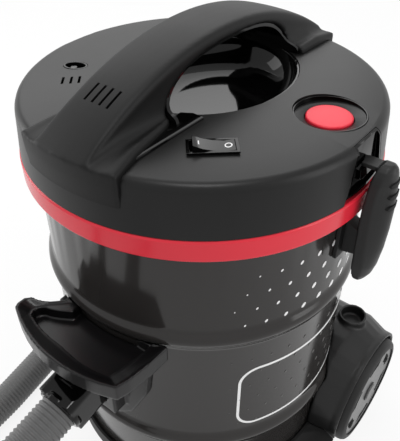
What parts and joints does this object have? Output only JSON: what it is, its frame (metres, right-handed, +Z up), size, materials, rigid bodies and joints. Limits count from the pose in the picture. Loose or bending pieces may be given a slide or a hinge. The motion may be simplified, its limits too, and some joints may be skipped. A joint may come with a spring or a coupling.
{
  "type": "shop vacuum",
  "caption": "Drum vacuum cleaner with a carrying handle, side latches, rocker switch, rewind button, tool tray, hose and wheels under side pods.",
  "frame": {"origin": "on the floor, under the middle of the box round the machine without its hose", "axes": "+Z up, -Y towards the hose inlet, +X towards the side on the right when looking at the inlet from behind"},
  "size_m": [0.4733, 1.0327, 0.5369],
  "materials": {
    "drum_paint": "gloss",
    "ring_red": "gloss",
    "rubber": "matte",
    "black_matte": "matte",
    "black_satin": "satin",
    "black_gloss": "gloss",
    "steel": "brushed",
    "hose_grey": "satin",
    "head_plastic": "satin",
    "handle_plastic": "satin",
    "latch_plastic": "satin",
    "button_red": "gloss",
    "motor_metal": "satin",
    "filter_cloth": "woven",
    "wheel_grey": "satin",
    "tyre": "matte"
  },
  "bodies": {
    "chassis": {"drum": "drum_paint", "drum_ring": "ring_red", "head_gasket": "rubber", "base_tray": "black_matte", "fender_left": "black_satin", "fender_right": "black_satin", "axle_left": "steel", "axle_right": "steel", "inlet_housing": "black_satin", "housing_screw": "steel", "tool_tray": "black_satin", "hose_connector": "black_gloss", "hose": "hose_grey", "hose_cuff": "black_satin", "latch_bracket_left": "black_matte", "latch_bracket_right": "black_matte", "latch_pin_left": "steel", "latch_pin_right": "steel", "latch_keeper_left": "black_gloss", "latch_keeper_right": "black_gloss", "head_shell": "head_plastic", "head_pan": "black_matte", "handle_cover": "handle_plastic", "handle_liner": "black_satin", "hand_well": "black_gloss", "button_well": "black_gloss", "button_spring": "steel", "switch_frame": "black_gloss", "cord_outlet": "black_gloss", "motor_pot": "black_matte", "motor": "motor_metal", "filter_cage": "black_matte", "filter_sleeve": "filter_cloth"},
    "wheel_left": {"wheel_left": "wheel_grey", "tyre_left": "tyre", "hubcap_left": "wheel_grey"},
    "wheel_right": {"wheel_right": "wheel_grey", "tyre_right": "tyre", "hubcap_right": "wheel_grey"},
    "caster_left": {"caster_fork_left": "black_matte", "caster_pin_left": "steel"},
    "caster_right": {"caster_fork_right": "black_matte", "caster_pin_right": "steel"},
    "caster_roller_left": {"caster_wheel_left": "rubber"},
    "caster_roller_right": {"caster_wheel_right": "rubber"},
    "lever_left": {"latch_lever_left": "latch_plastic"},
    "lever_right": {"latch_lever_right": "latch_plastic"},
    "rocker": {"switch_rocker": "black_gloss"},
    "button": {"rewind_button": "button_red"},
    "release": {"connector_release": "black_gloss"},
    "fan": {"fan": "motor_metal"},
    "reel": {"cord_reel": "black_matte"}
  },
  "joints": [
    {"name": "wheel_left_spin", "type": "hinge", "parent": "chassis", "child": "wheel_left", "pos_m": [-0.19, 0.11655, 0.072], "axis": [1, 0, 0], "continuous": true},
    {"name": "caster_left_swivel", "type": "hinge", "parent": "chassis", "child": "caster_left", "pos_m": [-0.085, -0.07145, 0.045], "axis": [0, 0, 1], "continuous": true},
    {"name": "caster_left_spin", "type": "hinge", "parent": "caster_left", "child": "caster_roller_left", "pos_m": [-0.085, -0.05345, 0.02], "axis": [1, 0, 0], "continuous": true},
    {"name": "latch_left_swing", "type": "hinge", "parent": "chassis", "child": "lever_left", "pos_m": [-0.185, 0.02855, 0.378], "axis": [0, -1, 0], "range_deg": [0, 30]},
    {"name": "wheel_right_spin", "type": "hinge", "parent": "chassis", "child": "wheel_right", "pos_m": [0.19, 0.11655, 0.072], "axis": [1, 0, 0], "continuous": true},
    {"name": "caster_right_swivel", "type": "hinge", "parent": "chassis", "child": "caster_right", "pos_m": [0.085, -0.07145, 0.045], "axis": [0, 0, 1], "continuous": true},
    {"name": "caster_right_spin", "type": "hinge", "parent": "caster_right", "child": "caster_roller_right", "pos_m": [0.085, -0.05345, 0.02], "axis": [1, 0, 0], "continuous": true},
    {"name": "latch_right_swing", "type": "hinge", "parent": "chassis", "child": "lever_right", "pos_m": [0.185, 0.02855, 0.378], "axis": [0, 1, 0], "range_deg": [0, 30]},
    {"name": "switch_rock", "type": "hinge", "parent": "chassis", "child": "rocker", "pos_m": [0.08098, -0.06203, 0.478], "axis": [-0.6665, 0.7455, 0], "range_deg": [-16, 0]},
    {"name": "rewind_press", "type": "slide", "parent": "chassis", "child": "button", "axis": [0, 0, -1], "range_m": [0, 0.004], "stiffness_N_per_m": 400, "deforming": ["button_spring"]},
    {"name": "release_press", "type": "slide", "parent": "chassis", "child": "release", "axis": [0, 0.2079, -0.9781], "range_m": [0, 0.0015], "stiffness_N_per_m": 600},
    {"name": "fan_spin", "type": "hinge", "parent": "chassis", "child": "fan", "pos_m": [0, 0.02855, 0.31], "axis": [0, 0, 1], "continuous": true},
    {"name": "reel_spin", "type": "hinge", "parent": "chassis", "child": "reel", "pos_m": [0, 0.02855, 0.417], "axis": [0, 0, 1], "continuous": true}
  ]
}
